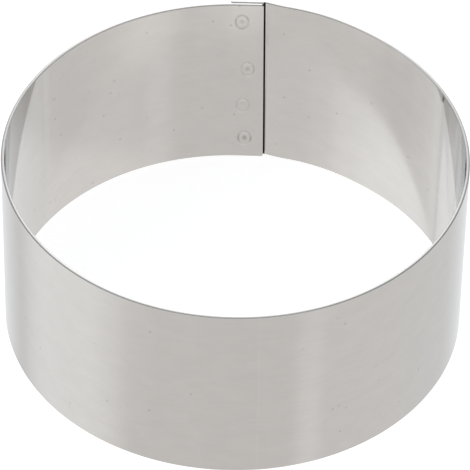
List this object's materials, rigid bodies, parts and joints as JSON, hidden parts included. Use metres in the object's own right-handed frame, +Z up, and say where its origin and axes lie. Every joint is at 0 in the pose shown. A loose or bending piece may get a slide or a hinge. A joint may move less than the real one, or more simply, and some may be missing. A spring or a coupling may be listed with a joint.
{
  "type": "pastry ring",
  "caption": "Straight-sided pastry ring of satin stainless steel strip, open at top and bottom, with a lapped and spot-welded seam, for cutting and moulding food.",
  "frame": {"origin": "on the axis of the round wall, in the plane that the ring stands on", "axes": "+Z up along the ring's axis; the lapped seam is on the +Y side, and the strip end that shows inside points to +X"},
  "size_m": [0.1, 0.101, 0.045],
  "materials": {
    "steel": "satin"
  },
  "bodies": {
    "root": {"ring": "steel"}
  },
  "joints": []
}
